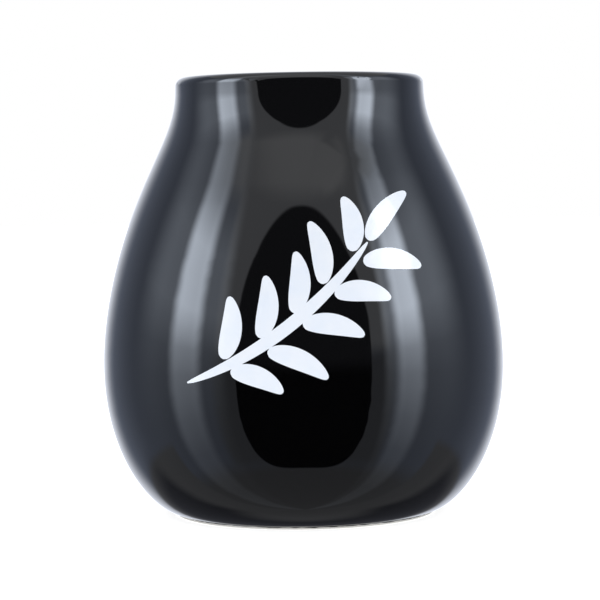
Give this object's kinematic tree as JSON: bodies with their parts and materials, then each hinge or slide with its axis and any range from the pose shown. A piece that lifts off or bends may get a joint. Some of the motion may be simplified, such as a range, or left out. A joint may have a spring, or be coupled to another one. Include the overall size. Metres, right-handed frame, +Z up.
{
  "type": "ceramic mate cup",
  "caption": "Gourd-shaped drinking cup for mate: a low round belly that narrows to a short neck with a rolled lip, on a bare foot ring.",
  "frame": {"origin": "on the table, under the middle of the foot ring", "axes": "+Z up along the axis of the cup; the printed side faces -Y, +X is to the right of it"},
  "size_m": [0.0918, 0.0918, 0.1],
  "materials": {
    "glazed_body": "high gloss black glaze inside and out, bare white ceramic on the foot ring"
  },
  "bodies": {
    "root": {"cup": "glazed_body"}
  },
  "joints": []
}
